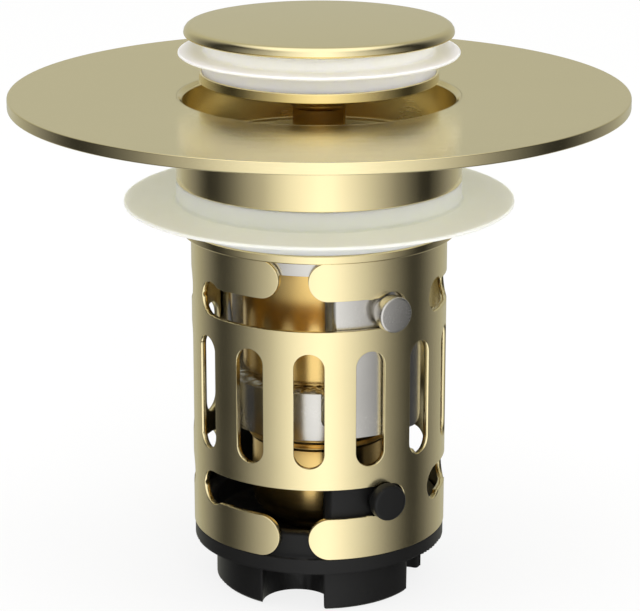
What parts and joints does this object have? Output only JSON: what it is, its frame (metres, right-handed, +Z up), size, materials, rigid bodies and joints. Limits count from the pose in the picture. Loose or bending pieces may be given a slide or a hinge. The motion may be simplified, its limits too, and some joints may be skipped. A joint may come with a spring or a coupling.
{
  "type": "pop up basin waste",
  "caption": "Drop-in pop-up basin waste: a wide round cover plate on a short neck, a press-to-open plug, two soft seals and a slotted strainer basket with a twist-off end cap.",
  "frame": {"origin": "on the waste's axis, at the level of the end cap's feet", "axes": "+Z up along the axis, -Y towards the viewer in the picture, +X to the viewer's right"},
  "size_m": [0.08, 0.08, 0.0755],
  "materials": {
    "brushed_gold": "brushed in straight lines",
    "polished_gold": "polished",
    "satin_gold": "satin, gold coated",
    "core_gold": "turned and polished",
    "satin_steel": "satin",
    "spring_steel": "drawn wire",
    "clear_silicone": "translucent",
    "grey_silicone": "translucent",
    "black_rubber": "matte",
    "black_plastic": "fine satin",
    "white_plastic": "moulded"
  },
  "bodies": {
    "waste_body": {"cover_plate": "brushed_gold", "neck_sleeve": "polished_gold", "body_seal": "grey_silicone", "bracket": "satin_steel", "bracket_pins": "satin_steel", "core_housing": "core_gold", "housing_washer": "core_gold", "lock_nut": "core_gold", "lower_barrel": "core_gold", "adjusting_screw": "core_gold", "spring_seat": "core_gold", "core_spring": "spring_steel", "guide_bush": "core_gold", "bush_o_ring": "black_rubber", "cam_sleeve": "white_plastic"},
    "plug": {"plug_cap": "brushed_gold", "plug_seal": "clear_silicone", "seal_retainer": "polished_gold", "stem_nut": "core_gold", "plug_stud": "core_gold", "plunger": "core_gold", "rotor_clip": "spring_steel"},
    "rotor": {"latch_rotor": "white_plastic"},
    "basket": {"strainer_basket": "satin_gold"},
    "end_cap": {"end_cap": "black_plastic", "end_cap_pins": "black_plastic"}
  },
  "joints": [
    {"name": "plug_press", "type": "slide", "parent": "waste_body", "child": "plug", "axis": [0, 0, -1], "range_m": [0, 0.0049], "stiffness_N_per_m": 300, "springref_m": -0.006, "deforming": ["core_spring"]},
    {"name": "latch_turn", "type": "hinge", "parent": "plug", "child": "rotor", "pos_m": [0, 0, 0.0435], "axis": [0, 0, 1], "range_deg": [0, 45]},
    {"name": "basket_twist", "type": "hinge", "parent": "waste_body", "child": "basket", "pos_m": [0, 0, 0.041], "axis": [0, 0, 1], "range_deg": [0, 88]},
    {"name": "end_cap_twist", "type": "hinge", "parent": "basket", "child": "end_cap", "pos_m": [0, 0, 0.0158], "axis": [0, 0, 1], "range_deg": [-86, 0]}
  ],
  "couplings": [
    {"joint": "latch_turn", "follows": "plug_press", "rad_per_m": 160}
  ]
}
